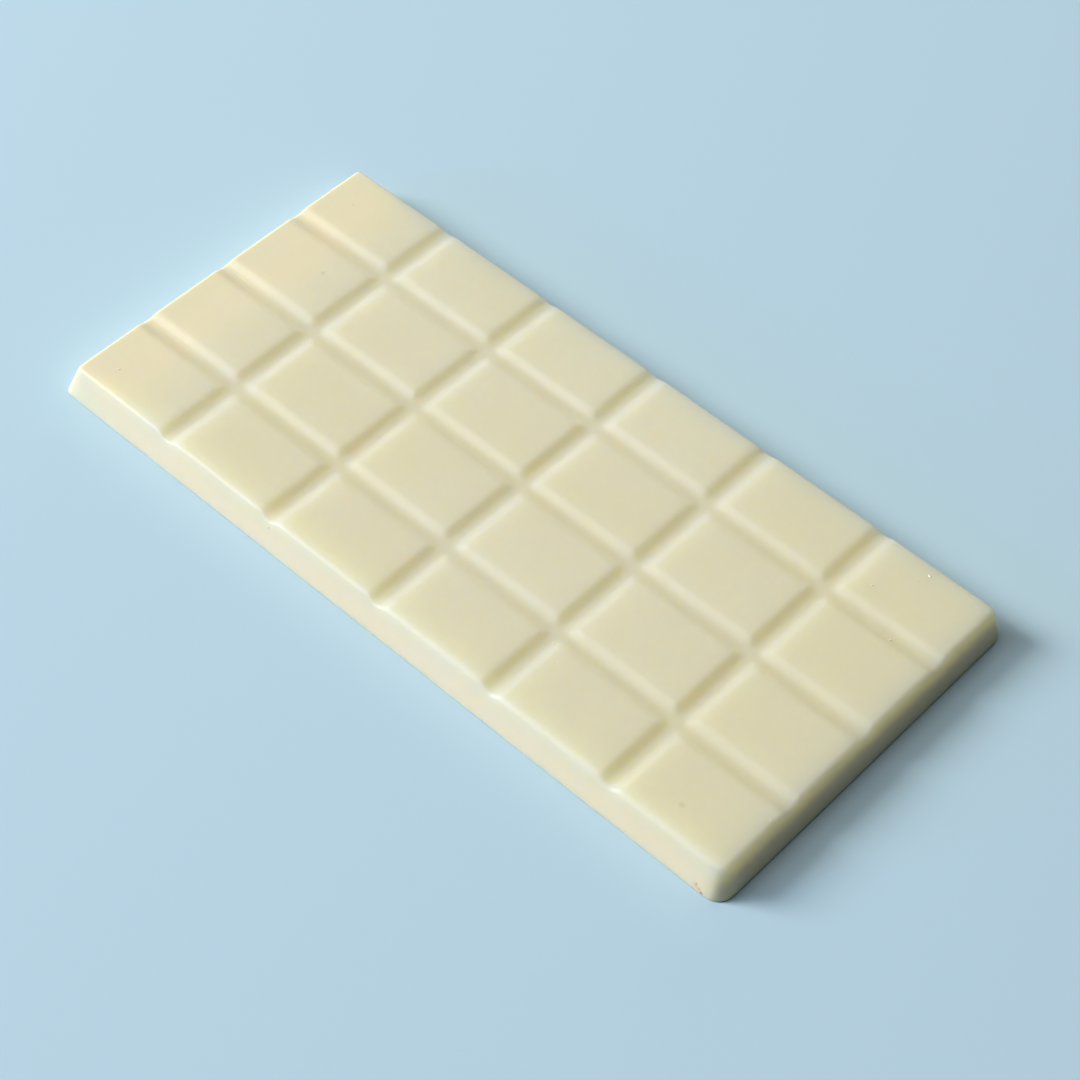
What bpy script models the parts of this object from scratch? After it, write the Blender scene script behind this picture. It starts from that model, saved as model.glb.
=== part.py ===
"""A moulded bar of white chocolate, lying on its flat back as it left the mould.

The bar is one solid. Its sides lean in towards the top, which lets it slip out of the mould. Five
soft, shallow grooves across it and three along it mark off the segments, and each groove runs out
through the sides as a shallow notch in the rim. The right end and the far side stand a little
steeper than the other two, and the three grooves sit that much off the middle.

Metres, +Z up. X runs along the bar and Y across it. The origin is the middle of the flat back.
"""

import math

import bmesh
import bpy

# The whole bar, at its widest just above the back
BAR_LENGTH = 0.1600
BAR_WIDTH = 0.0762
BAR_THICKNESS = 0.0064
DRAFT = math.radians(20.5)  # lean of the near and left sides from upright
STEEP_DRAFT = math.radians(16.5)  # the same at the right end and along the far side
TOP_CORNER_RADIUS = 0.0010  # of the outline, seen from above, at the level of the top
RIM_RADIUS = 0.0009  # of the edge between the top and the sides
FOOT_RADIUS = 0.0002  # of the edge between the sides and the back

# The grid of segments, from the middle of one groove to the middle of the next
SEGMENTS_ALONG = 6
SEGMENTS_ACROSS = 4
SEGMENT_LENGTH = 0.02675
SEGMENT_WIDTH = 0.0192
GROOVE_OFFSET = 0.00045  # how far the middle groove lies beyond the middle of the bar's width

# One groove, in section
GROOVE_DEPTH = 0.00074
GROOVE_WALL = math.radians(22.5)  # slope of its walls from level, where they are steepest
GROOVE_FLOOR_RADIUS = 0.0030
GROOVE_SHOULDER_RADIUS = 0.0028
SEGMENT_CORNER_RADIUS = 0.0004  # of a segment's corners, seen from above
SEGMENT_CORNER_POWER = 4.0  # 2 rounds a segment's corners into cones, and more keeps them squarer

# How finely the round parts are cut into flat ones
FLOOR_LINES = 2
SHOULDER_LINES = 2
CORNER_LINES = 2
RIM_STEPS = 3
FOOT_STEPS = 1  # from the side to upright, and twice as many from upright to the back

COLOUR = (0.76, 0.69, 0.49, 1.0)
ROUGHNESS = 0.42

LEAN = math.tan(DRAFT)
STEEPER = LEAN - math.tan(STEEP_DRAFT)
WALL_RUN = math.sin(GROOVE_WALL)
WALL_DROP = 1.0 - math.cos(GROOVE_WALL)
FLOOR_HALF = GROOVE_FLOOR_RADIUS * WALL_RUN
SHOULDER_RUN = GROOVE_SHOULDER_RADIUS * WALL_RUN
ROUND_DROP = (GROOVE_FLOOR_RADIUS + GROOVE_SHOULDER_RADIUS) * WALL_DROP
WALL_HALF = FLOOR_HALF + (GROOVE_DEPTH - ROUND_DROP) / math.tan(GROOVE_WALL)
GROOVE_HALF = WALL_HALF + SHOULDER_RUN

RIM_TURN = math.pi / 2.0 - DRAFT
RIM_SETBACK = RIM_RADIUS * math.tan(RIM_TURN / 2.0)
FOOT_SETBACK = FOOT_RADIUS * math.tan((math.pi - RIM_TURN) / 2.0)
FOOT_REACH = TOP_CORNER_RADIUS + BAR_THICKNESS * LEAN  # from the core out to the sharp foot
WIDEST = FOOT_REACH - FOOT_SETBACK + FOOT_RADIUS

# The core is the rectangle that every outline of the bar goes round at an even distance.
CORE_X = BAR_LENGTH / 2.0 - WIDEST
CORE_Y = BAR_WIDTH / 2.0 - WIDEST


def groove_centres(segments, pitch, offset):
    """Where the grooves between the segments of one row lie."""
    return [(index - segments / 2.0) * pitch + offset for index in range(1, segments)]


GROOVES_X = groove_centres(SEGMENTS_ALONG, SEGMENT_LENGTH, 0.0)
GROOVES_Y = groove_centres(SEGMENTS_ACROSS, SEGMENT_WIDTH, GROOVE_OFFSET)


def depth_inside(inside):
    """Depth of the surface at a distance in from a segment's shoulder line, towards the groove."""
    from_middle = GROOVE_HALF - min(max(inside, 0.0), GROOVE_HALF)
    if from_middle <= FLOOR_HALF:
        return GROOVE_DEPTH - arc_drop(GROOVE_FLOOR_RADIUS, from_middle)
    if from_middle <= WALL_HALF:
        wall_foot = GROOVE_DEPTH - GROOVE_FLOOR_RADIUS * WALL_DROP
        return wall_foot - (from_middle - FLOOR_HALF) * math.tan(GROOVE_WALL)
    return arc_drop(GROOVE_SHOULDER_RADIUS, GROOVE_HALF - from_middle)


def arc_drop(radius, run):
    """How far a circle has fallen away from its tangent after a run along it."""
    return radius - math.sqrt(radius * radius - run * run)


def groove_depth(x, y):
    """Depth of the surface below the top of the segments, with each segment's corners rounded."""
    reach_x = GROOVE_HALF - min(abs(x - centre) for centre in GROOVES_X)
    reach_y = GROOVE_HALF - min(abs(y - centre) for centre in GROOVES_Y)
    out_x = max(reach_x + SEGMENT_CORNER_RADIUS, 0.0) ** SEGMENT_CORNER_POWER
    out_y = max(reach_y + SEGMENT_CORNER_RADIUS, 0.0) ** SEGMENT_CORNER_POWER
    return depth_inside((out_x + out_y) ** (1.0 / SEGMENT_CORNER_POWER) - SEGMENT_CORNER_RADIUS)


def grid_lines(core, grooves):
    """Grid lines along one axis, as (place in the core, share of the way from the core to the rim)."""
    beyond = [step / CORNER_LINES for step in range(1, CORNER_LINES + 1)]
    across = [FLOOR_HALF * step / FLOOR_LINES for step in range(1, FLOOR_LINES + 1)]
    across += [WALL_HALF + SHOULDER_RUN * step / SHOULDER_LINES for step in range(SHOULDER_LINES + 1)]
    offsets = [-run for run in reversed(across)] + [0.0] + across
    inner = [centre + offset for centre in grooves for offset in offsets]
    lines = [(-core, -share) for share in reversed(beyond)]
    lines += [(place, 0.0) for place in [-core] + inner + [core]]
    lines += [(core, share) for share in beyond]
    return lines


def heading(share_x, share_y):
    """Unit direction from the core to the rim, and the share of that way, for one grid point."""
    share = max(abs(share_x), abs(share_y))
    if share == 0.0:
        return (0.0, 0.0), 0.0
    if abs(share_x) >= abs(share_y):
        turn = math.pi / 4.0 * abs(share_y) / share
    else:
        turn = math.pi / 2.0 - math.pi / 4.0 * abs(share_x) / share
    return (math.copysign(math.cos(turn), share_x), math.copysign(math.sin(turn), share_y)), share


def place(line_x, line_y, out, height):
    """The point at that distance out from the core, or at its share of it on the top."""
    core_x, share_x = line_x
    core_y, share_y = line_y
    (east, north), share = heading(share_x, share_y)
    x = core_x + share * out * east
    y = core_y + share * out * north
    if core_x == CORE_X:
        x += STEEPER * height
    if core_y == CORE_Y:
        y += STEEPER * height
    return (x, y, height)


def rim_rows(depth):
    """The bar's section from the rim down to the back, as (distance out from the core, height)."""
    rim_out = TOP_CORNER_RADIUS + depth * LEAN - RIM_SETBACK
    rim_centre = BAR_THICKNESS - depth - RIM_RADIUS
    rows = []
    for step in range(RIM_STEPS + 1):
        turn = RIM_TURN * step / RIM_STEPS
        rows.append((rim_out + RIM_RADIUS * math.sin(turn), rim_centre + RIM_RADIUS * math.cos(turn)))
    for turn in foot_turns():
        out = FOOT_REACH - FOOT_SETBACK + FOOT_RADIUS * math.sin(turn)
        rows.append((out, FOOT_RADIUS * (1.0 + math.cos(turn))))
    return rows


def foot_turns():
    """Directions that the rounded foot faces, from that of the side, through level, to straight down."""
    upper = [RIM_TURN + DRAFT * step / FOOT_STEPS for step in range(FOOT_STEPS)]
    lower = [math.pi / 2.0 * (1.0 + step / (2.0 * FOOT_STEPS)) for step in range(2 * FOOT_STEPS + 1)]
    return upper + lower


def add_top(mesh, lines_x, lines_y):
    """The grooved top: a grid of vertices, as one list for each line across the bar."""
    columns = []
    for line_x in lines_x:
        column = []
        for line_y in lines_y:
            depth = groove_depth(line_x[0], line_y[0])
            out = rim_rows(depth)[0][0]
            column.append(mesh.verts.new(place(line_x, line_y, out, BAR_THICKNESS - depth)))
        columns.append(column)
    for left, right in zip(columns, columns[1:]):
        for low in range(len(left) - 1):
            mesh.faces.new((left[low], right[low], right[low + 1], left[low + 1]))
    return columns


def border(columns):
    """Grid positions round the outside of the top, anticlockwise from above."""
    last_x = len(columns) - 1
    last_y = len(columns[0]) - 1
    south = [(index, 0) for index in range(last_x)]
    east = [(last_x, index) for index in range(last_y)]
    north = [(index, last_y) for index in range(last_x, 0, -1)]
    west = [(0, index) for index in range(last_y, 0, -1)]
    return south + east + north + west


def add_sides(mesh, columns, lines_x, lines_y):
    """The rounded rim, the leaning sides and the foot, and the flat back that closes them."""
    places = border(columns)
    upper = [columns[across][along] for across, along in places]
    for row in range(1, len(rim_rows(0.0))):
        lower = []
        for across, along in places:
            line_x, line_y = lines_x[across], lines_y[along]
            out, height = rim_rows(groove_depth(line_x[0], line_y[0]))[row]
            lower.append(mesh.verts.new(place(line_x, line_y, out, height)))
        for index, corner in enumerate(upper):
            after = (index + 1) % len(upper)
            mesh.faces.new((corner, lower[index], lower[after], upper[after]))
        upper = lower
    mesh.faces.new(list(reversed(upper)))


def white_chocolate():
    """The bar's material."""
    material = bpy.data.materials.new("white_chocolate")
    material.use_nodes = True
    shader = material.node_tree.nodes["Principled BSDF"]
    shader.inputs["Base Color"].default_value = COLOUR
    shader.inputs["Roughness"].default_value = ROUGHNESS
    shader.inputs["Metallic"].default_value = 0.0
    material.diffuse_color = COLOUR
    return material


def chocolate_bar():
    """The bar, as one closed mesh."""
    lines_x = grid_lines(CORE_X, GROOVES_X)
    lines_y = grid_lines(CORE_Y, GROOVES_Y)
    shape = bmesh.new()
    columns = add_top(shape, lines_x, lines_y)
    add_sides(shape, columns, lines_x, lines_y)
    data = bpy.data.meshes.new("chocolate_bar")
    shape.to_mesh(data)
    shape.free()
    data.shade_smooth()
    data.set_sharp_from_angle(angle=math.radians(50.0))
    data.materials.append(white_chocolate())
    bar = bpy.data.objects.new("chocolate_bar", data)
    bpy.context.scene.collection.objects.link(bar)
    return bar


def main():
    for old in list(bpy.data.objects):
        bpy.data.objects.remove(old, do_unlink=True)
    chocolate_bar()


main()
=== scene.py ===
"""The looks of a moulded bar of white chocolate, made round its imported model.

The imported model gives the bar's box. A finer mesh of the same form stands for it here, with softer
and sharper edges where the real bar has them, scratches, crumbs, and a slightly uneven poured back.

Metres, +Z up. X runs along the bar and Y across it, and the origin is the middle of the flat back.
"""

import math
import random

import bmesh
import bpy
import numpy as np
from mathutils import Matrix, Vector


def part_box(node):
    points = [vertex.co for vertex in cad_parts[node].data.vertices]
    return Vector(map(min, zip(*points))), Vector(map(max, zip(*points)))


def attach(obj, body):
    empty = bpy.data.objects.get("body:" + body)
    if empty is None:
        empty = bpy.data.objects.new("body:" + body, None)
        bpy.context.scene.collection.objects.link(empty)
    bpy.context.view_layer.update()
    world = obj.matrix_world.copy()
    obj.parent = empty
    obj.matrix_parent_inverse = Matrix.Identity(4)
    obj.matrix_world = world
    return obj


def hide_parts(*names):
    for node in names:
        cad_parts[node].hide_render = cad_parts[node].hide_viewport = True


MM = 0.001

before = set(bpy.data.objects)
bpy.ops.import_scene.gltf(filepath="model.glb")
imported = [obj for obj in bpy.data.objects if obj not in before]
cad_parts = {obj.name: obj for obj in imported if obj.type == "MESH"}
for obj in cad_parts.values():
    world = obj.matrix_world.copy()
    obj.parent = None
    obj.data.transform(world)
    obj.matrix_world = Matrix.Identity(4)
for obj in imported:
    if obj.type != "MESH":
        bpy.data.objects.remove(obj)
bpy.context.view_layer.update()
LOWEST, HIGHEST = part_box("chocolate_bar")

# The whole bar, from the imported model
BAR_LENGTH = HIGHEST[0] - LOWEST[0]
BAR_WIDTH = HIGHEST[1] - LOWEST[1]
BAR_THICKNESS = HIGHEST[2] - LOWEST[2]
MIDDLE_X = (HIGHEST[0] + LOWEST[0]) / 2.0
MIDDLE_Y = (HIGHEST[1] + LOWEST[1]) / 2.0
BACK = LOWEST[2]

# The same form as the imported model's
DRAFT = math.radians(20.5)  # lean of the near and left sides from upright
STEEP_DRAFT = math.radians(16.5)  # the same at the right end and along the far side
FOOT_RADIUS = 0.2 * MM  # of the edge between the sides and the back
SEGMENTS_ALONG = 6
SEGMENTS_ACROSS = 4
SEGMENT_LENGTH = 26.75 * MM
SEGMENT_WIDTH = 19.2 * MM
GROOVE_OFFSET = 0.45 * MM  # how far the middle groove lies beyond the middle of the bar's width
GROOVE_DEPTH = 0.74 * MM
GROOVE_WALL = math.radians(22.5)  # slope of its walls from level, where they are steepest
GROOVE_FLOOR_RADIUS = 3.0 * MM
GROOVE_SHOULDER_RADIUS = 2.8 * MM
SEGMENT_CORNER_RADIUS = 0.4 * MM
SEGMENT_CORNER_POWER = 4.0

# What the finer mesh adds: each corner and each side has its own rounding. A corner is named by
# -1 for left or 1 for right, and -1 for near or 1 for far.
SOFTEST_CORNER = 2.2 * MM  # no corner of the top is rounder than this, seen from above
CRISPEST_CORNER = 0.12 * MM  # and no corner at any height is sharper than this
TOP_CORNERS = {(-1, -1): 0.7 * MM, (-1, 1): 0.8 * MM, (1, -1): 1.7 * MM, (1, 1): 1.1 * MM}
FOOT_CORNERS = {(-1, -1): 2.1 * MM, (-1, 1): 3.2 * MM, (1, -1): 3.6 * MM, (1, 1): 4.0 * MM}
CRISP_RIM = 0.60 * MM  # radius of the edge between the top and the sides, at the left end
WORN_RIM = 1.00 * MM  # the same towards the right end
WORN_RIM_FROM = -60.0 * MM
WORN_RIM_TO = 60.0 * MM
SOFT_RIM = 1.40 * MM  # the same along the right end
SOFT_RIM_FROM = BAR_LENGTH / 2.0 - 7.0 * MM
SOFT_RIM_TO = BAR_LENGTH / 2.0 - 1.5 * MM

# How finely it is cut
GROOVE_LINES = 0.25 * MM  # between grid lines in a groove
SEGMENT_LINES = 1.25 * MM  # the same between grooves
GROOVE_MARGIN = 0.5 * MM  # how far the lines of a groove go on past its edge
LINE_PLACES = 7  # lines that agree to this many decimals of a metre are one line
ON_EDGE = 0.01 * MM  # lines this near the core's edge are on it
SHARES_TO_RIM = (0.28, 0.52, 0.72, 0.88, 1.0)  # where the lines outside the core run
RIM_STEPS = 8
SIDE_STEPS = 6
FOOT_STEPS = 4

# The groove's section, out from its middle: a round floor, a straight wall and a round shoulder
WALL_DROP = 1.0 - math.cos(GROOVE_WALL)
FLOOR_HALF = GROOVE_FLOOR_RADIUS * math.sin(GROOVE_WALL)
SHOULDER_RUN = GROOVE_SHOULDER_RADIUS * math.sin(GROOVE_WALL)
ROUND_DROP = (GROOVE_FLOOR_RADIUS + GROOVE_SHOULDER_RADIUS) * WALL_DROP
WALL_HALF = FLOOR_HALF + (GROOVE_DEPTH - ROUND_DROP) / math.tan(GROOVE_WALL)
GROOVE_HALF = WALL_HALF + SHOULDER_RUN
GROOVE_EDGE = GROOVE_HALF + GROOVE_MARGIN

# The sides, out from the core, which is the part of the top's plan that no rounding reaches
LEAN = math.tan(DRAFT)
STEEPER = LEAN - math.tan(STEEP_DRAFT)  # how much less the steep sides lean
RIM_TURN = math.pi / 2.0 - DRAFT
FOOT_SETBACK = FOOT_RADIUS * math.tan((math.pi - RIM_TURN) / 2.0)
FOOT_REACH = SOFTEST_CORNER + BAR_THICKNESS * LEAN
WIDEST = FOOT_REACH - FOOT_SETBACK + FOOT_RADIUS
CORE_X = BAR_LENGTH / 2.0 - WIDEST
CORE_Y = BAR_WIDTH / 2.0 - WIDEST


def groove_centres(segments, pitch, offset):
    """Where the grooves between the segments of one row lie."""
    return [(index - segments / 2.0) * pitch + offset for index in range(1, segments)]


GROOVES_X = groove_centres(SEGMENTS_ALONG, SEGMENT_LENGTH, 0.0)
GROOVES_Y = groove_centres(SEGMENTS_ACROSS, SEGMENT_WIDTH, GROOVE_OFFSET)


# ---------------------------------------------------------------- the bar's form


def smooth(low, high, value):
    """0 below low, 1 above high, and an even curve between them."""
    share = np.clip((value - low) / (high - low), 0.0, 1.0)
    return share * share * (3.0 - 2.0 * share)


def arc_drop(radius, run):
    """How far a circle has fallen away from its tangent after a run along it."""
    return radius - np.sqrt(np.maximum(radius * radius - run * run, 0.0))


def depth_inside(inside):
    """Depth of the surface at a distance in from a segment's shoulder line, towards the groove."""
    from_middle = GROOVE_HALF - np.clip(inside, 0.0, GROOVE_HALF)
    floor = GROOVE_DEPTH - arc_drop(GROOVE_FLOOR_RADIUS, np.minimum(from_middle, FLOOR_HALF))
    wall_foot = GROOVE_DEPTH - GROOVE_FLOOR_RADIUS * WALL_DROP
    wall = wall_foot - (from_middle - FLOOR_HALF) * math.tan(GROOVE_WALL)
    shoulder = arc_drop(GROOVE_SHOULDER_RADIUS, GROOVE_HALF - np.maximum(from_middle, WALL_HALF))
    beyond_floor = np.where(from_middle <= WALL_HALF, wall, shoulder)
    return np.where(from_middle <= FLOOR_HALF, floor, beyond_floor)


def nearest(places, grooves):
    """Distance from each place to the middle of the nearest groove."""
    return np.min([np.abs(places - centre) for centre in grooves], axis=0)


def groove_depth(x, y):
    """Depth of the surface below the top of the segments, with each segment's corners rounded."""
    reach_x = GROOVE_HALF - nearest(x, GROOVES_X)
    reach_y = GROOVE_HALF - nearest(y, GROOVES_Y)
    out_x = np.maximum(reach_x + SEGMENT_CORNER_RADIUS, 0.0) ** SEGMENT_CORNER_POWER
    out_y = np.maximum(reach_y + SEGMENT_CORNER_RADIUS, 0.0) ** SEGMENT_CORNER_POWER
    return depth_inside((out_x + out_y) ** (1.0 / SEGMENT_CORNER_POWER) - SEGMENT_CORNER_RADIUS)


def lines_between(start, end, spacing):
    """Even grid lines from start to end, no further apart than spacing."""
    return np.linspace(start, end, 1 + math.ceil((end - start) / spacing))


def grid_lines(core, grooves, extra=()):
    """Grid lines along one axis, as places in the core and shares of the way from it to the rim."""
    stops = [-core]
    places = []
    for centre in grooves:
        places.append(lines_between(centre - GROOVE_EDGE, centre + GROOVE_EDGE, GROOVE_LINES))
        stops += [centre - GROOVE_EDGE, centre + GROOVE_EDGE]
    stops.append(core)
    for start, end in zip(stops[::2], stops[1::2]):
        places.append(lines_between(start, end, SEGMENT_LINES))
    inner = np.unique(np.round(np.concatenate(places + [np.array(extra)]), LINE_PLACES))
    beyond = np.array(SHARES_TO_RIM)
    ends = np.full(len(beyond), core)
    return (
        np.concatenate([-ends, inner, ends]),
        np.concatenate([-beyond[::-1], np.zeros(len(inner)), beyond]),
    )


def headings(share_x, share_y):
    """Unit direction from the core to the rim at each grid point, and the share of that way."""
    share = np.maximum(np.abs(share_x), np.abs(share_y))
    safe = np.where(share == 0.0, 1.0, share)
    along = np.pi / 4.0 * np.abs(share_y) / safe
    across = np.pi / 2.0 - np.pi / 4.0 * np.abs(share_x) / safe
    turn = np.where(np.abs(share_x) >= np.abs(share_y), along, across)
    east = np.where(share == 0.0, 0.0, np.cos(turn) * np.sign(share_x))
    north = np.where(share == 0.0, 0.0, np.sin(turn) * np.sign(share_y))
    return east, north, share


def corner_values(share_x, share_y, values):
    """The value of whichever corner each grid point is nearest to."""
    found = np.zeros(share_x.shape)
    for (side_x, side_y), value in values.items():
        found = np.where((share_x * side_x > 0) & (share_y * side_y > 0), value, found)
    return found


class Grid:
    """The points that the top, and the back under it, are laid out on."""

    def __init__(self, lines_x, lines_y):
        self.core_x, self.core_y = np.meshgrid(lines_x[0], lines_y[0], indexing="ij")
        self.share_x, self.share_y = np.meshgrid(lines_x[1], lines_y[1], indexing="ij")
        self.east, self.north, self.share = headings(self.share_x, self.share_y)
        self.steep_x = self.core_x > CORE_X - ON_EDGE
        self.steep_y = self.core_y > CORE_Y - ON_EDGE
        self.depth = groove_depth(self.core_x, self.core_y)
        self.rim = rim_radius(self.core_x + self.share_x * SOFTEST_CORNER)
        self.top_corner = corner_values(self.share_x, self.share_y, TOP_CORNERS)
        self.foot_corner = corner_values(self.share_x, self.share_y, FOOT_CORNERS)

    def places(self, out, inset, height):
        """x and y of points that lie out from the core, share for share.

        A corner's radius grows from its top value to its foot value on the way down, and it shrinks
        by inset, as an outline's corners do when the outline moves in.
        """
        level = height / BAR_THICKNESS
        radius = self.foot_corner + (self.top_corner - self.foot_corner) * level - inset
        radius = np.clip(radius, CRISPEST_CORNER, out)
        corner = (self.share_x != 0.0) & (self.share_y != 0.0)
        straight = np.where(corner, out - radius, 0.0)
        reach = np.where(corner, radius, out)
        x = self.core_x + self.share * (straight * np.sign(self.share_x) + reach * self.east)
        y = self.core_y + self.share * (straight * np.sign(self.share_y) + reach * self.north)
        x += np.where(self.steep_x, STEEPER * height, 0.0)
        y += np.where(self.steep_y, STEEPER * height, 0.0)
        return x, y

    def border(self):
        """Flat positions of the grid's outer points, anticlockwise from above."""
        count_x, count_y = self.core_x.shape
        index = np.arange(count_x * count_y).reshape(count_x, count_y)
        return np.concatenate([index[:-1, 0], index[-1, :-1], index[:0:-1, -1], index[0, :0:-1]])


def rim_radius(x):
    """Radius of the top's edge: crisp at the left, rounder to the right, and softest at the end."""
    along = CRISP_RIM + (WORN_RIM - CRISP_RIM) * smooth(WORN_RIM_FROM, WORN_RIM_TO, x)
    return along + (SOFT_RIM - along) * smooth(SOFT_RIM_FROM, SOFT_RIM_TO, x)


def section_rows(depth, rim):
    """The section from the rim down to the back, as (distance out, height, inset) for each row.

    Inset is how far a row lies inside the sharp outline that the section would have unrounded.
    """
    setback = rim * math.tan(RIM_TURN / 2.0)
    rim_out = SOFTEST_CORNER + depth * LEAN - setback
    rim_centre = BAR_THICKNESS - depth - rim
    rows = []
    for step in range(RIM_STEPS + 1):
        turn = RIM_TURN * step / RIM_STEPS
        rows.append((rim_out + rim * math.sin(turn), rim_centre + rim * math.cos(turn)))
    foot_out = FOOT_REACH - FOOT_SETBACK + FOOT_RADIUS * math.sin(RIM_TURN)
    foot_height = FOOT_RADIUS * (1.0 + math.cos(RIM_TURN))
    for step in range(1, SIDE_STEPS):
        share = step / SIDE_STEPS
        start_out, start_height = rows[RIM_STEPS]
        out = start_out + (foot_out - start_out) * share
        rows.append((out, start_height + (foot_height - start_height) * share))
    turns = [RIM_TURN + DRAFT * step / FOOT_STEPS for step in range(FOOT_STEPS)]
    turns += [math.pi / 2.0 * (1.0 + step / FOOT_STEPS) for step in range(FOOT_STEPS + 1)]
    for turn in turns:
        out = FOOT_REACH - FOOT_SETBACK + FOOT_RADIUS * math.sin(turn)
        level = np.full(depth.shape, FOOT_RADIUS * (1.0 + math.cos(turn)))
        rows.append((np.full(depth.shape, out), level))
    return [
        (out, height, SOFTEST_CORNER + (BAR_THICKNESS - height) * LEAN - out)
        for out, height in rows
    ]


# ---------------------------------------------------------------- unevenness

WAVE_PEAK = 1.5  # about how high the sum of waves peaks, for each root of their number


def waves(x, y, seed, count, longest, shortest):
    """Smooth unevenness between about -1 and 1, as a sum of waves that run every way."""
    draw = random.Random(seed)
    total = np.zeros(x.shape)
    for _ in range(count):
        length = math.exp(draw.uniform(math.log(shortest), math.log(longest)))
        turn = draw.uniform(0.0, math.pi)
        phase = draw.uniform(0.0, 2.0 * math.pi)
        run = x * math.cos(turn) + y * math.sin(turn)
        total += np.sin(2.0 * math.pi * run / length + phase)
    return total / (WAVE_PEAK * math.sqrt(count))


# Scratches along the left ends of the two grooves nearest the middle and the near side: the groove,
# the distance from its middle, where it starts and ends along the bar, and how high it stands
SCRATCHES = [
    (0, 0.40 * MM, -74.6 * MM, -65.6 * MM, 0.040 * MM),
    (0, 0.70 * MM, -71.5 * MM, -67.0 * MM, 0.022 * MM),
    (0, 1.05 * MM, -77.0 * MM, -73.0 * MM, 0.016 * MM),
    (1, 0.55 * MM, -76.0 * MM, -69.6 * MM, 0.040 * MM),
    (1, 0.85 * MM, -74.5 * MM, -71.0 * MM, 0.022 * MM),
    (1, 2.35 * MM, -76.0 * MM, -72.4 * MM, 0.020 * MM),
]
SCRATCH_HALF = 0.09 * MM
SCRATCH_TAPER = 2.0 * MM


def scratch_lines():
    """Grid lines along the scratches, so that the mesh can follow them."""
    lines = []
    for groove, offset, _, _, _ in SCRATCHES:
        middle = GROOVES_Y[groove] + offset
        lines += [middle + SCRATCH_HALF * step for step in (-1.0, 0.0, 1.0)]
    return lines


def scratch_height(x, y):
    """How far the scratches' raised lips stand above the surface."""
    total = np.zeros(x.shape)
    for groove, offset, start, end, height in SCRATCHES:
        away = np.abs(y - (GROOVES_Y[groove] + offset))
        across = np.clip(1.0 - away / SCRATCH_HALF, 0.0, 1.0)
        along = smooth(start, start + SCRATCH_TAPER, x) * (1.0 - smooth(end - SCRATCH_TAPER, end, x))
        total += height * across * along
    return total


TOP_WAVE = 0.03 * MM  # from the top's lowest level to its highest
BACK_WAVE = 0.10 * MM  # the same for the back
BACK_EVEN = 0.5 * MM  # the back is flat this far in from its edge
BACK_UNEVEN = 5.0 * MM  # and fully uneven from here in
NEAR_ROLL = 0.14 * MM  # how far the top has rolled over at the near rim
NEAR_ROLL_FROM = BAR_WIDTH / 2.0 - 4.0 * MM
NEAR_ROLL_TO = BAR_WIDTH / 2.0 - 2.2 * MM


def top_fall(x, y):
    """How far the top lies below its highest level: it is uneven, and rolls over at the near rim."""
    wave = waves(x, y, seed=3, count=14, longest=60.0 * MM, shortest=14.0 * MM)
    uneven = TOP_WAVE * (1.0 + np.clip(wave, -1.0, 1.0)) / 2.0
    return uneven + NEAR_ROLL * smooth(NEAR_ROLL_FROM, NEAR_ROLL_TO, -y)


def back_rise(x, y):
    """How far the poured back lies off what the bar rests on: nothing at its edge."""
    edge = np.minimum(BAR_LENGTH / 2.0 - np.abs(x), BAR_WIDTH / 2.0 - np.abs(y))
    wave = waves(x, y, seed=8, count=18, longest=40.0 * MM, shortest=6.0 * MM)
    uneven = 0.5 + 0.5 * np.clip(wave, -1.0, 1.0)
    return BACK_WAVE * uneven * smooth(BACK_EVEN, BACK_UNEVEN, edge)


# ---------------------------------------------------------------- the bar's mesh


def bar_points(grid):
    """Points of the top, then of each row down the sides, then of the back inside its edge."""
    border = grid.border()
    rows = section_rows(grid.depth, grid.rim)
    out, height, inset = rows[0]
    x, y = grid.places(out, inset, height)
    height = height + scratch_height(x, y)
    stack = [np.stack([x, y, height], axis=-1).reshape(-1, 3)]
    for out, height, inset in rows[1:]:
        x, y = grid.places(out, inset, height)
        stack.append(np.stack([x, y, height], axis=-1).reshape(-1, 3)[border])
    x, y = grid.places(out, inset, np.zeros(out.shape))
    back = np.stack([x, y, back_rise(x, y)], axis=-1)
    stack.append(back[1:-1, 1:-1].reshape(-1, 3))
    points = np.concatenate(stack)
    points[:, 2] -= top_fall(points[:, 0], points[:, 1]) * smooth(0.0, BAR_THICKNESS, points[:, 2])
    return points + np.array([MIDDLE_X, MIDDLE_Y, BACK])


def sheet_faces(index):
    """Four-sided faces between neighbouring points of a grid of point numbers."""
    corners = (index[:-1, :-1], index[1:, :-1], index[1:, 1:], index[:-1, 1:])
    return np.stack(corners, axis=-1).reshape(-1, 4)


def bar_faces(grid):
    """The faces that join the points of bar_points, all facing out."""
    count_x, count_y = grid.core_x.shape
    top = np.arange(count_x * count_y).reshape(count_x, count_y)
    faces = [sheet_faces(top)]
    upper = grid.border()
    first = count_x * count_y
    row_count = len(section_rows(grid.depth[:1], grid.rim[:1])) - 1
    for _ in range(row_count):
        lower = np.arange(first, first + len(upper))
        faces.append(np.stack([upper, lower, np.roll(lower, -1), np.roll(upper, -1)], axis=-1))
        first += len(upper)
        upper = lower
    back = np.empty((count_x, count_y), dtype=int)
    back[1:-1, 1:-1] = first + np.arange((count_x - 2) * (count_y - 2)).reshape(count_x - 2, -1)
    back.reshape(-1)[grid.border()] = upper
    faces.append(sheet_faces(back)[:, ::-1])
    return np.concatenate(faces)


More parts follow.
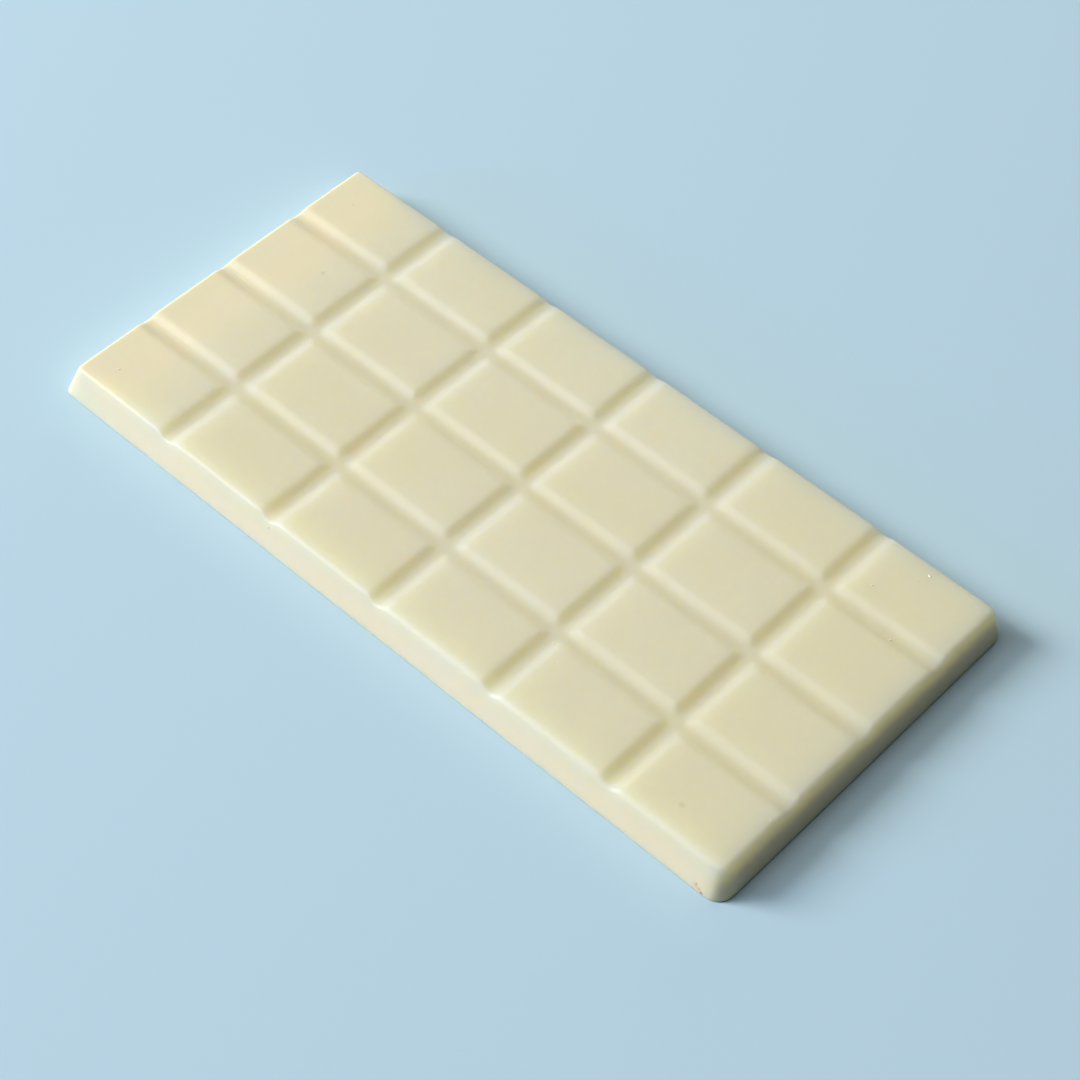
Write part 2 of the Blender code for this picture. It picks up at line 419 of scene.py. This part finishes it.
def new_mesh(name, points, faces, material):
    """A smooth-shaded object from arrays of points and four-sided or three-sided faces."""
    data = bpy.data.meshes.new(name)
    data.from_pydata(points.tolist(), [], faces.tolist())
    data.shade_smooth()
    data.materials.append(material)
    thing = bpy.data.objects.new(name, data)
    bpy.context.scene.collection.objects.link(thing)
    return thing


def make_bar(material):
    grid = Grid(grid_lines(CORE_X, GROOVES_X), grid_lines(CORE_Y, GROOVES_Y, scratch_lines()))
    bar = new_mesh("bar", bar_points(grid), bar_faces(grid), material)
    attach(bar, "root")
    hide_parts("chocolate_bar")


# ---------------------------------------------------------------- crumbs

# Crumbs that lie on the top: place along and across the bar, length and width in millimetres, and
# the way they point in degrees
CRUMBS = [
    (-71.8, -30.9, 0.42, 0.32, 20.0),
    (-71.7, 28.6, 0.40, 0.24, 95.0),
    (-44.2, 33.0, 0.36, 0.30, 40.0),
    (-43.0, 34.2, 0.24, 0.20, 10.0),
    (-56.2, -22.9, 0.34, 0.28, 70.0),
    (-55.4, -24.9, 0.46, 0.26, 15.0),
    (27.7, -21.2, 0.38, 0.30, 60.0),
    (28.6, -20.8, 0.30, 0.22, 120.0),
    (31.2, -23.8, 0.24, 0.20, 0.0),
    (59.3, 25.6, 0.42, 0.34, 30.0),
    (60.6, 25.6, 0.26, 0.22, 80.0),
    (64.5, 31.8, 0.34, 0.30, 50.0),
    (65.3, 34.0, 0.85, 0.34, -25.0),
    (75.3, 34.1, 0.30, 0.26, 10.0),
    (67.2, 18.6, 0.28, 0.24, 100.0),
    (68.7, 18.9, 0.50, 0.42, 35.0),
    (58.7, -31.4, 0.26, 0.22, 65.0),
    (77.4, -23.2, 0.36, 0.28, 0.0),
]
CRUMB_HEIGHT = 0.7  # as a share of its width
CRUMB_SUNK = 0.3  # as a share of its height
CRUMB_SEED = 21
CRUMB_ROUNDS = 3  # of splitting the ball that it is made from
CRUMB_LUMPS = 9
DEEPEST_DENT = -0.3  # as a share of the ball's radius
HIGHEST_LUMP = 0.25
LUMP_POWER = 3  # the higher, the narrower its lumps and dents


def top_height(x, y):
    """Height of the bar's top above its back, away from the rim."""
    x, y = np.array(x), np.array(y)
    return float(BAR_THICKNESS - groove_depth(x, y) - top_fall(x, y))


def crumb(draw, x, y, length, width, turn):
    """One small uneven flake, as points and three-sided faces."""
    shape = bmesh.new()
    bmesh.ops.create_icosphere(shape, subdivisions=CRUMB_ROUNDS, radius=1.0)
    lumps = []
    for _ in range(CRUMB_LUMPS):
        way = Vector([draw.gauss(0.0, 1.0) for _ in range(3)]).normalized()
        lumps.append((way, draw.uniform(DEEPEST_DENT, HIGHEST_LUMP)))
    for vert in shape.verts:
        push = sum(size * max(vert.co.dot(way), 0.0) ** LUMP_POWER for way, size in lumps)
        vert.co *= 1.0 + push
    height = CRUMB_HEIGHT * width
    level = BACK + top_height(x, y) + height * (0.5 - CRUMB_SUNK)
    shape.transform(Matrix.Diagonal((length / 2.0, width / 2.0, height / 2.0, 1.0)))
    shape.transform(Matrix.Rotation(turn, 4, "Z"))
    shape.transform(Matrix.Translation((MIDDLE_X + x, MIDDLE_Y + y, level)))
    shape.verts.index_update()
    points = np.array([vert.co[:] for vert in shape.verts])
    faces = np.array([[vert.index for vert in face.verts] for face in shape.faces])
    shape.free()
    return points, faces


def make_crumbs(material):
    draw = random.Random(CRUMB_SEED)
    points = []
    faces = []
    for x, y, length, width, turn in CRUMBS:
        more, joined = crumb(draw, x * MM, y * MM, length * MM, width * MM, math.radians(turn))
        faces.append(joined + sum(len(group) for group in points))
        points.append(more)
    crumbs = new_mesh("crumbs", np.concatenate(points), np.concatenate(faces), material)
    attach(crumbs, "root")


# ---------------------------------------------------------------- materials


class Nodes:
    """Short ways to add nodes to one material."""

    def __init__(self, name):
        self.material = bpy.data.materials.new(name)
        self.material.use_nodes = True
        self.tree = self.material.node_tree
        self.shader = self.tree.nodes["Principled BSDF"]

    def add(self, kind, settings=None, **inputs):
        node = self.tree.nodes.new(kind)
        for key, value in (settings or {}).items():
            setattr(node, key, value)
        for key, value in inputs.items():
            self.put(node.inputs[key.replace("_", " ")], value)
        return node

    def put(self, socket, value):
        if isinstance(value, bpy.types.NodeSocket):
            self.tree.links.new(value, socket)
        else:
            socket.default_value = value

    def ranged(self, value, low, high, to_low=0.0, to_high=1.0):
        """to_low up to low, to_high from high on, and an even curve between them."""
        node = self.add("ShaderNodeMapRange", {"interpolation_type": "SMOOTHSTEP"})
        for socket, number in zip(node.inputs, (value, low, high, to_low, to_high)):
            self.put(socket, number)
        return node.outputs[0]

    def mixed(self, share, one, other):
        node = self.add("ShaderNodeMix", {"data_type": "RGBA"})
        self.put(node.inputs[0], share)
        self.put(node.inputs[6], one)
        self.put(node.inputs[7], other)
        return node.outputs[2]

    def spot(self, place, middle, radius, softness, strength):
        """Strength in a ball round the middle, and nothing outside it. Sizes are in millimetres."""
        away = self.add("ShaderNodeVectorMath", {"operation": "DISTANCE"})
        self.put(away.inputs[0], place)
        self.put(away.inputs[1], [length * MM for length in middle])
        edge = radius * (1.0 - softness)
        return self.ranged(away.outputs["Value"], edge * MM, radius * MM, strength, 0.0)

    def noise(self, place, size, detail=2.0):
        """Noise in patches of about that size."""
        node = self.add("ShaderNodeTexNoise", Vector=place, Detail=detail, Roughness=0.5)
        node.inputs["Scale"].default_value = 1.0 / size
        return node.outputs["Fac"]


CHOCOLATE = (0.875, 0.750, 0.500, 1.0)
CHOCOLATE_PALE = (0.880, 0.778, 0.563, 1.0)
CHOCOLATE_WARM = (0.885, 0.738, 0.457, 1.0)
# painted shade: less red and a little bluer, to tone down the warm glow where the strong light from the
# left falls on that end
CHOCOLATE_LEFT_PAINTED_SHADE = (0.823, 0.763, 0.522, 1.0)  # at the left end
CHOCOLATE_RIGHT = (0.866, 0.742, 0.470, 1.0)  # towards the right end

# How large the patches of each colour are, and how much of it shows at most
PALE_SIZE = 28.0 * MM
PALE_SHARE = 0.5
WARM_SIZE = 2.2 * MM
WARM_SHARE = 0.35
RIGHT_SHARE = 0.6

# Its satin surface
CHOCOLATE_IOR = 1.46
GLOSSIEST = 0.36  # roughness, in patches
DULLEST = 0.45
GLOSS_SIZE = 6.0 * MM
GRAIN_SIZE = 0.45 * MM
GRAIN_HEIGHT = 0.05 * MM
GRAIN_STRENGTH = 0.08

# How far light wanders inside: less in the thin parts near the left end and near the foot
SCATTER = 12.0 * MM
SHORT_SCATTER = 1.0 * MM
SHORT_LEFT = -BAR_LENGTH / 2.0 + 3.0 * MM  # short up to here along the bar
LONG_FROM = -BAR_LENGTH / 2.0 + 22.0 * MM  # and long from here on
SHORT_BELOW = 2.0 * MM  # short up to this height above the back
LONG_ABOVE = 6.0 * MM  # and long from here up
DEPTH_OF_LIGHT = (1.25, 1.06, 0.63)  # of red, green and blue, times the scatter

GREY_GREEN = (0.50, 0.50, 0.30, 1.0)
BROWN = (0.36, 0.22, 0.10, 1.0)
# painted shade: the dark inside tiny pinholes, which the mesh doesn't have
PINHOLE_PAINTED_SHADE = (0.30, 0.24, 0.12, 1.0)
PINK_ORANGE = (0.80, 0.42, 0.22, 1.0)

# Spots: where the middle is and the radius in millimetres, how much of that is a soft edge, the
# strength, and the colour
SPOTS = [
    # painted shade of a pinhole, as a soft grey-green dot
    (-62.55, 11.98, 6.4, 0.70, 0.9, 0.40, GREY_GREEN),
    (65.0, -30.7, 6.4, 0.80, 0.95, 0.16, BROWN),
    (25.2, -3.8, 5.6, 0.50, 0.8, 0.45, BROWN),
    # painted shade of three pinholes
    (-26.1, -36.5, 4.4, 0.16, 0.5, 0.9, PINHOLE_PAINTED_SHADE),
    (24.85, -35.7, 6.3, 0.16, 0.5, 0.8, PINHOLE_PAINTED_SHADE),
    (77.7, 2.2, 6.2, 0.16, 0.5, 0.8, PINHOLE_PAINTED_SHADE),
    (74.5, -37.7, 1.0, 0.75, 0.8, 0.55, PINK_ORANGE),
    (75.3, -37.9, 0.7, 0.60, 0.8, 0.60, PINK_ORANGE),
    (75.9, -38.0, 0.3, 0.45, 0.7, 0.75, BROWN),
    (74.6, -37.6, 1.3, 0.20, 0.6, 0.80, BROWN),
]


def chocolate_material():
    nodes = Nodes("white_chocolate")
    place = nodes.add("ShaderNodeTexCoord").outputs["Object"]
    broad = nodes.noise(place, PALE_SIZE)
    small = nodes.noise(place, WARM_SIZE, detail=4.0)
    pale = nodes.ranged(broad, 0.35, 0.65, 0.0, PALE_SHARE)
    colour = nodes.mixed(pale, CHOCOLATE, CHOCOLATE_PALE)
    warm = nodes.ranged(small, 0.4, 0.7, 0.0, WARM_SHARE)
    colour = nodes.mixed(warm, colour, CHOCOLATE_WARM)
    axes = nodes.add("ShaderNodeSeparateXYZ", Vector=place).outputs
    # painted shade at the left end: less red there, to tone down the warm glow of the light from the
    # left
    left = nodes.ranged(axes["X"], SHORT_LEFT, LONG_FROM, 1.0, 0.0)
    colour = nodes.mixed(left, colour, CHOCOLATE_LEFT_PAINTED_SHADE)
    right = nodes.ranged(axes["X"], 0.0, BAR_LENGTH / 2.0, 0.0, RIGHT_SHARE)
    colour = nodes.mixed(right, colour, CHOCOLATE_RIGHT)
    for *middle, radius, softness, strength, tint in SPOTS:
        colour = nodes.mixed(nodes.spot(place, middle, radius, softness, strength), colour, tint)
    nodes.put(nodes.shader.inputs["Base Color"], colour)
    rough = nodes.ranged(nodes.noise(place, GLOSS_SIZE), 0.3, 0.7, GLOSSIEST, DULLEST)
    nodes.put(nodes.shader.inputs["Roughness"], rough)
    nodes.shader.inputs["IOR"].default_value = CHOCOLATE_IOR
    nodes.shader.inputs["Specular IOR Level"].default_value = 0.35
    nodes.shader.inputs["Subsurface Weight"].default_value = 1.0
    nodes.shader.inputs["Subsurface Radius"].default_value = DEPTH_OF_LIGHT
    scatter = nodes.ranged(axes["X"], SHORT_LEFT, LONG_FROM, SHORT_SCATTER, SCATTER)
    scatter = nodes.ranged(axes["Z"], BACK + SHORT_BELOW, BACK + LONG_ABOVE, SHORT_SCATTER, scatter)
    nodes.put(nodes.shader.inputs["Subsurface Scale"], scatter)
    grain = nodes.noise(place, GRAIN_SIZE, detail=3.0)
    bump = nodes.add("ShaderNodeBump", Height=grain, Strength=GRAIN_STRENGTH, Distance=GRAIN_HEIGHT)
    nodes.put(nodes.shader.inputs["Normal"], bump.outputs["Normal"])
    return nodes.material


CRUMB = (0.98, 0.94, 0.80, 1.0)
CRUMB_PATCHES = 0.3 * MM


def crumb_material():
    nodes = Nodes("white_chocolate_crumbs")
    place = nodes.add("ShaderNodeTexCoord").outputs["Object"]
    pale = nodes.ranged(nodes.noise(place, CRUMB_PATCHES), 0.3, 0.5)
    nodes.put(nodes.shader.inputs["Base Color"], nodes.mixed(pale, CHOCOLATE_PALE, CRUMB))
    nodes.shader.inputs["Roughness"].default_value = 0.5
    nodes.shader.inputs["IOR"].default_value = CHOCOLATE_IOR
    return nodes.material


FLOOR_COLOUR = (0.502, 0.68, 0.762, 1.0)
FLOOR_GAP = 0.05 * MM  # between the bar's back and the floor
FLOOR_SIZE = 4.0


def floor_material():
    nodes = Nodes("pale_floor")
    nodes.shader.inputs["Base Color"].default_value = FLOOR_COLOUR
    nodes.shader.inputs["Roughness"].default_value = 0.9
    nodes.shader.inputs["Specular IOR Level"].default_value = 0.1
    return nodes.material


# ---------------------------------------------------------------- the studio


def make_floor():
    half = FLOOR_SIZE / 2.0
    corners = np.array([(-half, -half, 0.0), (half, -half, 0.0), (half, half, 0.0), (-half, half, 0.0)])
    corners[:, 2] = BACK - FLOOR_GAP
    floor = new_mesh("floor", corners, np.array([[0, 1, 2, 3]]), floor_material())


def towards(azimuth, elevation):
    """Unit vector that points up towards something seen at that azimuth and elevation.

    Azimuth 0 is the direction of -Y, and 90 degrees that of +X.
    """
    level = math.cos(elevation)
    return Vector((math.sin(azimuth) * level, -math.cos(azimuth) * level, math.sin(elevation)))


LIGHT_DISTANCE = 3.0


def soft_light(name, azimuth, elevation, size, power, colour=(1.0, 1.0, 1.0)):
    """A round light that faces the bar. Its azimuth and elevation are in degrees."""
    data = bpy.data.lights.new(name, "AREA")
    data.shape = "DISK"
    data.size = size
    data.energy = power
    data.color = colour
    lamp = bpy.data.objects.new(name, data)
    bpy.context.scene.collection.objects.link(lamp)
    back = towards(math.radians(azimuth), math.radians(elevation))
    lamp.location = back * LIGHT_DISTANCE
    lamp.rotation_euler = back.to_track_quat("Z", "Y").to_euler()


def make_lights():
    soft_light("key", -61.0, 28.5, size=1.3, power=96.5)
    soft_light("middle", -60.0, 46.0, size=1.3, power=19.0)
    soft_light("high", -80.0, 70.0, size=1.5, power=16.0)
    soft_light("low", -30.0, 12.0, size=0.9, power=8.0, colour=(0.2, 0.75, 2.9))
    soft_light("back", -165.0, 55.0, size=1.8, power=10.0)
    soft_light("behind", -155.0, 12.0, size=1.2, power=10.0)


# Light from all round, and what shows beyond the edge of the floor
ALL_ROUND = (0.02, 0.02, 0.02, 1.0)
BACKDROP = (0.55, 0.71, 0.79, 1.0)


def make_world():
    world = bpy.data.worlds.new("studio")
    world.use_nodes = True
    tree = world.node_tree
    path = tree.nodes.new("ShaderNodeLightPath")
    choice = tree.nodes.new("ShaderNodeMix")
    choice.data_type = "RGBA"
    choice.inputs[6].default_value = ALL_ROUND
    choice.inputs[7].default_value = BACKDROP
    tree.links.new(path.outputs["Is Camera Ray"], choice.inputs[0])
    tree.links.new(choice.outputs[2], tree.nodes["Background"].inputs["Color"])
    bpy.context.scene.world = world


# Where the camera stands, seen from the point of the floor that it is aimed at
AIM = Vector((7.8 * MM, -2.95 * MM, 0.0))
CAMERA_AZIMUTH = math.radians(42.015)
CAMERA_ELEVATION = math.radians(51.591)
CAMERA_DISTANCE = 460.98 * MM
CAMERA_ROLL = math.radians(1.36)  # its right side is tilted up
LENS = 86.636


def make_camera():
    data = bpy.data.cameras.new("camera")
    data.sensor_width = 36.0
    data.lens = LENS
    data.clip_start = 0.01
    data.clip_end = 20.0
    camera = bpy.data.objects.new("camera", data)
    bpy.context.scene.collection.objects.link(camera)
    back = towards(CAMERA_AZIMUTH, CAMERA_ELEVATION)
    turn = back.to_track_quat("Z", "Y").to_matrix().to_4x4()
    roll = Matrix.Rotation(CAMERA_ROLL, 4, "Z")
    camera.matrix_world = Matrix.Translation(AIM + back * CAMERA_DISTANCE) @ turn @ roll
    bpy.context.scene.camera = camera


def main():
    bpy.context.scene.view_settings.view_transform = "Standard"
    make_bar(chocolate_material())
    make_crumbs(crumb_material())
    make_floor()
    make_lights()
    make_world()
    make_camera()


main()
